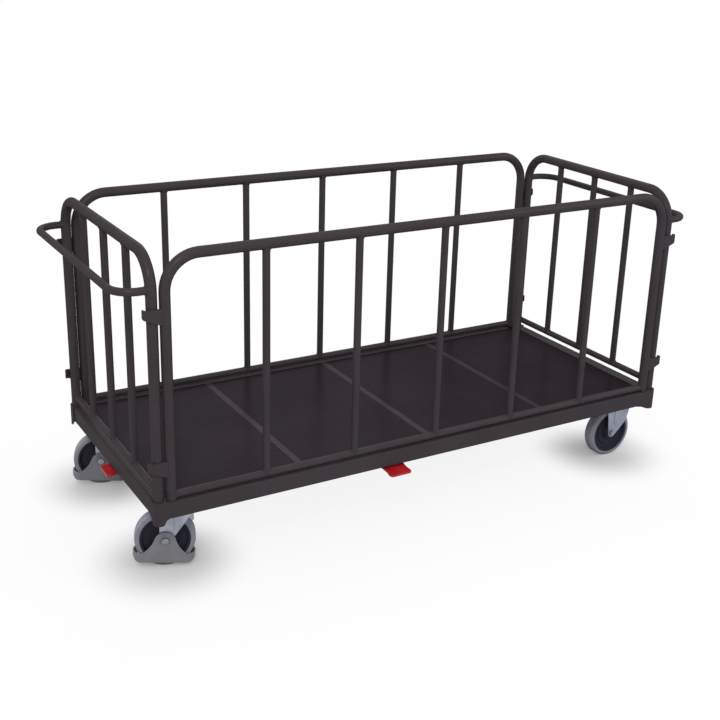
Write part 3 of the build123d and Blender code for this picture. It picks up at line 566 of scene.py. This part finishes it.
def weld_tree():
    """Geometry nodes: a rippled bead round the branch tube where it meets the seat tube."""
    seam_points = 36
    bead_points = 8
    ripple_scale = 230.0
    tree = bpy.data.node_groups.new("weld_seams", "GeometryNodeTree")
    face = tree.interface
    face.new_socket(name="Places", in_out="INPUT", socket_type="NodeSocketGeometry")
    for label in ("Branch Radius", "Seat Radius", "Bead", "Ripple"):
        face.new_socket(name=label, in_out="INPUT", socket_type=number_socket)
    face.new_socket(name="Seed", in_out="INPUT", socket_type="NodeSocketInt")
    face.new_socket(name="Paint", in_out="INPUT", socket_type="NodeSocketMaterial")
    face.new_socket(name="Welds", in_out="OUTPUT", socket_type="NodeSocketGeometry")
    given = tree.nodes.new("NodeGroupInput").outputs
    out = tree.nodes.new("NodeGroupOutput").inputs
    ring = put(
        tree,
        "GeometryNodeCurvePrimitiveCircle",
        {"Resolution": seam_points, "Radius": given["Branch Radius"]},
    )
    here = put(tree, "GeometryNodeInputPosition").outputs["Position"]
    across = put(tree, "ShaderNodeSeparateXYZ", {"Vector": here}).outputs["Y"]
    seat_square = math_of(tree, "MULTIPLY", given["Seat Radius"], given["Seat Radius"])
    across_square = math_of(tree, "MULTIPLY", across, across)
    rise_square = math_of(tree, "SUBTRACT", seat_square, across_square)
    rise = math_of(tree, "SQRT", math_of(tree, "MAXIMUM", rise_square, 0.0))
    lifted = put(tree, "ShaderNodeCombineXYZ", {"Z": rise}).outputs["Vector"]
    seam = put(tree, "GeometryNodeSetPosition", {"Geometry": ring.outputs["Curve"], "Offset": lifted})
    profile = put(
        tree,
        "GeometryNodeCurvePrimitiveCircle",
        {"Resolution": bead_points, "Radius": given["Bead"]},
    )
    bead = put(
        tree,
        "GeometryNodeCurveToMesh",
        {"Curve": seam.outputs["Geometry"], "Profile Curve": profile.outputs["Curve"]},
    )
    aim = put(tree, "GeometryNodeInputNamedAttribute", {"Name": "aim"}, data_type="FLOAT_VECTOR")
    turn = put(tree, "FunctionNodeEulerToRotation", {"Euler": aim.outputs["Attribute"]})
    placed = put(
        tree,
        "GeometryNodeInstanceOnPoints",
        {"Points": given["Places"], "Instance": bead.outputs["Mesh"], "Rotation": turn.outputs["Rotation"]},
    )
    whole = put(tree, "GeometryNodeRealizeInstances", {"Geometry": placed.outputs["Instances"]})
    waves = put(
        tree,
        "ShaderNodeTexNoise",
        {"Vector": here, "W": given["Seed"], "Scale": ripple_scale},
        noise_dimensions="4D",
    )
    wave = math_of(tree, "SUBTRACT", waves.outputs["Fac"], 0.5)
    swell = math_of(tree, "MULTIPLY", wave, given["Ripple"])
    outward = put(tree, "GeometryNodeInputNormal").outputs["Normal"]
    rippled = put(
        tree,
        "GeometryNodeSetPosition",
        {"Geometry": whole.outputs["Geometry"], "Offset": stretched(tree, outward, swell)},
    )
    smooth = put(tree, "GeometryNodeSetShadeSmooth", {"Geometry": rippled.outputs["Geometry"]})
    painted = put(
        tree,
        "GeometryNodeSetMaterial",
        {"Geometry": smooth.outputs["Geometry"], "Material": given["Paint"]},
    )
    tree.links.new(painted.outputs["Geometry"], out["Welds"])
    return tree


def grow(name, tree, places, settings):
    """Plain mesh that a node tree makes on the given (point, aim) places."""
    points = bpy.data.meshes.new(name + "_places")
    points.from_pydata([point for point, aim in places], [], [])
    aims = points.attributes.new("aim", "FLOAT_VECTOR", "POINT")
    for entry, (point, aim) in zip(aims.data, places):
        entry.vector = aim
    holder = bpy.data.objects.new(name + "_places", points)
    bpy.context.scene.collection.objects.link(holder)
    modifier = holder.modifiers.new("grow", "NODES")
    modifier.node_group = tree
    for item in tree.interface.items_tree:
        if item.in_out == "INPUT" and item.name in settings:
            modifier[item.identifier] = settings[item.name]
    depsgraph = bpy.context.evaluated_depsgraph_get()
    mesh = bpy.data.meshes.new_from_object(holder.evaluated_get(depsgraph), depsgraph=depsgraph)
    holder.modifiers.remove(modifier)
    bpy.data.objects.remove(holder)
    bpy.data.meshes.remove(points)
    return mesh


def joined(name, meshes, coat):
    """One object at the origin from several meshes of one finish, with its faces outwards."""
    form = bmesh.new()
    for mesh in meshes:
        form.from_mesh(mesh)
        bpy.data.meshes.remove(mesh)
    for face in form.faces:
        face.material_index = 0
    if form.calc_volume(signed=True) < 0:
        bmesh.ops.reverse_faces(form, faces=form.faces)
    whole = bpy.data.meshes.new(name)
    form.to_mesh(whole)
    form.free()
    whole.materials.append(coat)
    piece = bpy.data.objects.new(name, whole)
    bpy.context.scene.collection.objects.link(piece)
    return piece


half_turn = math.pi
quarter_turn = math.pi / 2


def end_frame_welds(side):
    """Weld places of one end frame, on bars, bottom rail and handle: (on 28 mm tube, on 20 mm tube)."""
    x = side * end_leg_x
    pitch = 2 * end_leg_y / (end_bar_count + 1)
    on_legs = []
    on_rail = []
    for index in range(1, end_bar_count + 1):
        y = -end_leg_y + pitch * index
        on_legs.append(((x, y, top_run_z), (half_turn, 0.0, quarter_turn)))
        on_rail.append(((x, y, end_rail_z), (0.0, 0.0, quarter_turn)))
    for y, lean in ((-end_leg_y, -quarter_turn), (end_leg_y, quarter_turn)):
        on_legs.append(((x, y, end_rail_z), (lean, quarter_turn, 0.0)))
        on_legs.append(((x, y, handle_z), (0.0, side * quarter_turn, 0.0)))
    return on_legs, on_rail


def side_panel_welds(side):
    """Weld places of one side panel, on bars and bottom rail: (on 28 mm tube, on 20 mm tube)."""
    y = side * side_leg_y
    pitch = 2 * side_leg_x / (side_bar_count + 1)
    on_legs = []
    on_rail = []
    for index in range(1, side_bar_count + 1):
        x = -side_leg_x + pitch * index
        on_legs.append(((x, y, top_run_z), (half_turn, 0.0, 0.0)))
        on_rail.append(((x, y, side_rail_z), (0.0, 0.0, 0.0)))
    for x, lean in ((-side_leg_x, quarter_turn), (side_leg_x, -quarter_turn)):
        on_legs.append(((x, y, side_rail_z), (0.0, lean, 0.0)))
    return on_legs, on_rail


def add_welds(name, body, tree, on_legs, on_rail, seed):
    """Grow one body's welds as one painted piece."""
    settings = {
        "Branch Radius": bar_radius,
        "Bead": weld_bead,
        "Ripple": weld_ripple,
        "Seed": seed,
        "Paint": frame_coat,
    }
    legs = grow(name + "_legs", tree, on_legs, {**settings, "Seat Radius": leg_radius})
    rail = grow(name + "_rail", tree, on_rail, {**settings, "Seat Radius": bar_radius})
    piece = joined(name, [legs, rail], frame_coat)
    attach(piece, body)


seams = weld_tree()
left_legs, left_rail = end_frame_welds(-1)
right_legs, right_rail = end_frame_welds(1)
add_welds("end_frame_welds", "chassis", seams, left_legs + right_legs, left_rail + right_rail, seed=1)
add_welds("front_panel_welds", "front_panel", seams, *side_panel_welds(-1), seed=2)
add_welds("rear_panel_welds", "rear_panel", seams, *side_panel_welds(1), seed=3)


# Rim of flat strips over the outer margins of the boards

def round_edges(form, edges, reach, steps):
    """Round some edges of a form."""
    bmesh.ops.bevel(form, geom=edges, offset=reach, segments=steps, profile=0.5, affect="EDGES")


def mesh_in_order(name, form):
    """Mesh of a form, its points and faces put in order of place, since a bevel's order changes by run."""
    points = sorted(form.verts, key=lambda point: point.co[:])
    numbers = {point: number for number, point in enumerate(points)}
    faces = []
    for face in form.faces:
        loop = [numbers[point] for point in face.verts]
        first = loop.index(min(loop))
        faces.append(loop[first:] + loop[:first])
    mesh = bpy.data.meshes.new(name)
    mesh.from_pydata([point.co[:] for point in points], [], sorted(faces))
    return mesh


def flat_strip(low, high):
    """Flat strip on the boards between two corners of its plan, with round corners and soft upper edges."""
    size = Vector((high[0] - low[0], high[1] - low[1], strip_height))
    place = Vector((low[0], low[1], board_high.z)) + size / 2
    form = bmesh.new()
    bmesh.ops.create_cube(form, size=1.0, matrix=Matrix.Translation(place) @ Matrix.Diagonal((*size, 1.0)))
    upright = []
    for edge in form.edges:
        start, end = edge.verts
        if abs(start.co.z - end.co.z) > strip_height / 2:
            upright.append(edge)
    round_edges(form, upright, strip_corner, steps=4)
    top = max(form.faces, key=lambda face: face.calc_center_median().z)
    round_edges(form, list(top.edges), strip_edge, steps=2)
    mesh = mesh_in_order("rim_strip", form)
    form.free()
    return mesh


def add_rim():
    """Lay a strip along each side of the platform, between the corner pockets and clear of the welds."""
    side_reach = side_leg_x - leg_radius - weld_bead - weld_ripple - strip_gap
    end_reach = high_corner("right_rail").y - strip_gap
    strips = [
        flat_strip((-side_reach, rim_y), (side_reach, board_high.y)),
        flat_strip((-side_reach, -board_high.y), (side_reach, -rim_y)),
        flat_strip((rim_x, -end_reach), (board_high.x, end_reach)),
        flat_strip((-board_high.x, -end_reach), (-rim_x, end_reach)),
    ]
    # The strips take the paler copy of the coat, painted light
    piece = joined("rim_strips", strips, lit_coat)
    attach(piece, "chassis")


add_rim()


# Studio, in metres and watts

floor_reach = 40.0
world_light = 0.80
lamp_target = (0.0, 0.0, 0.4)
lamps = [
    {"name": "key_lamp", "place": (-2.8, -4.0, 4.4), "width": 1.3, "power": 90.0},
    {"name": "fill_lamp", "place": (3.8, -2.6, 2.6), "width": 2.6, "power": 40.0},
    {"name": "back_lamp", "place": (1.5, 4.2, 3.6), "width": 3.0, "power": 60.0},
]


def seen_share(tree):
    """1 for rays from the camera, a reflection or glass, and 0 for those that only carry light."""
    rays = put(tree, "ShaderNodeLightPath").outputs
    seen = math_of(tree, "MAXIMUM", rays["Is Camera Ray"], rays["Is Glossy Ray"])
    return math_of(tree, "MAXIMUM", seen, rays["Is Transmission Ray"])


def to_nearest_wheel(tree, place):
    """Distance on the floor from where the nearest wheel stands at rest, up to a metre."""
    nearest = 1.0
    for centre, axle in wheels.values():
        contact = (centre[0], centre[1], 0.0)
        gap = vector_of(tree, "LENGTH", vector_of(tree, "SUBTRACT", place, contact))
        nearest = math_of(tree, "MINIMUM", gap, nearest)
    return nearest


def floor_white():
    """White that glows where it is seen; by the wheels it glows less and is painted grey as a contact shadow, so
    that the soft shadow shows there.
    """
    material = bpy.data.materials.new("studio_white")
    material.use_nodes = True
    tree = material.node_tree
    tree.nodes.clear()
    seen = seen_share(tree)
    place = object_place(tree)
    nearest = to_nearest_wheel(tree, place)
    # Painted shade: grey of the floor as a source of reflected light, and as it is seen, darkest by the wheels and
    # paler outwards
    painted_bounce_shade = ramp(tree, nearest, 0.12, 0.55, from_low=0.08, from_high=0.35)
    painted_contact_shadow = ramp(tree, nearest, 0.66, 0.92, from_low=0.08, from_high=0.26)
    shade = math_of(tree, "MAXIMUM", painted_bounce_shade, math_of(tree, "MULTIPLY", seen, painted_contact_shadow))
    matt = put(tree, "ShaderNodeBsdfDiffuse", {"Color": shade})
    glow = put(tree, "ShaderNodeEmission", {"Color": white, "Strength": 1.0})
    # Share of the glow where the floor is seen, from the wheels and from the trolley's middle outwards; less glow
    # by the wheels lets the painted and the real shadow show
    from_wheels = ramp(tree, nearest, 0.25, 1.0, from_low=0.05, from_high=0.25)
    from_trolley = ramp(tree, vector_of(tree, "LENGTH", place), 0.88, 1.0, from_low=1.0, from_high=2.4)
    clear = math_of(tree, "MULTIPLY", from_wheels, from_trolley)
    share = math_of(tree, "MULTIPLY", seen, clear)
    both = put(tree, "ShaderNodeMixShader", {0: share, 1: matt.outputs["BSDF"], 2: glow.outputs["Emission"]})
    put(tree, "ShaderNodeOutputMaterial", {"Surface": both.outputs["Shader"]})
    return material


def pale_floor():
    """Wide flat floor under the wheels."""
    mesh = bpy.data.meshes.new("studio_floor")
    corners = [
        (-floor_reach, -floor_reach, 0.0),
        (floor_reach, -floor_reach, 0.0),
        (floor_reach, floor_reach, 0.0),
        (-floor_reach, floor_reach, 0.0),
    ]
    mesh.from_pydata(corners, [], [(0, 1, 2, 3)])
    mesh.materials.append(floor_white())
    floor = bpy.data.objects.new("studio_floor", mesh)
    bpy.context.scene.collection.objects.link(floor)


def white_world():
    """White backdrop to the camera and in reflections, and even soft light elsewhere."""
    world = bpy.data.worlds.new("studio_world")
    world.use_nodes = True
    tree = world.node_tree
    tree.nodes.clear()
    level = ramp(tree, seen_share(tree), world_light, 1.0)
    backdrop = put(tree, "ShaderNodeBackground", {"Color": white, "Strength": level})
    put(tree, "ShaderNodeOutputWorld", {"Surface": backdrop.outputs["Background"]})
    bpy.context.scene.world = world


def soft_lamp(name, place, width, power):
    """Large square lamp turned to the trolley."""
    lamp = bpy.data.lights.new(name, "AREA")
    lamp.shape = "SQUARE"
    lamp.size = width
    lamp.energy = power
    holder = bpy.data.objects.new(name, lamp)
    holder.location = place
    holder.rotation_euler = (Vector(lamp_target) - Vector(place)).to_track_quat("-Z", "Y").to_euler()
    bpy.context.scene.collection.objects.link(holder)


def photo_camera():
    """Camera with the photograph's place, angle, lens and framing."""
    flat = math.cos(camera_elevation)
    back = Vector((
        math.sin(camera_azimuth) * flat,
        -math.cos(camera_azimuth) * flat,
        math.sin(camera_elevation),
    ))
    level_right = (-back).cross(Vector((0.0, 0.0, 1.0))).normalized()
    level_up = level_right.cross(-back)
    right = math.cos(camera_roll) * level_right + math.sin(camera_roll) * level_up
    up = math.cos(camera_roll) * level_up - math.sin(camera_roll) * level_right
    data = bpy.data.cameras.new("photo_camera")
    data.sensor_width = sensor_width
    data.lens = focal_pixels / picture_width * sensor_width
    data.shift_x = 0.5 - centre_pixel_x / picture_width
    data.shift_y = centre_pixel_y / picture_width - 0.5
    data.clip_end = camera_reach
    camera = bpy.data.objects.new("photo_camera", data)
    turn = Matrix((right, up, back)).transposed()
    camera.matrix_world = Matrix.Translation(camera_place) @ turn.to_4x4()
    bpy.context.scene.collection.objects.link(camera)
    bpy.context.scene.camera = camera


pale_floor()
white_world()
for lamp in lamps:
    soft_lamp(**lamp)
photo_camera()
bpy.context.scene.view_settings.view_transform = "Standard"
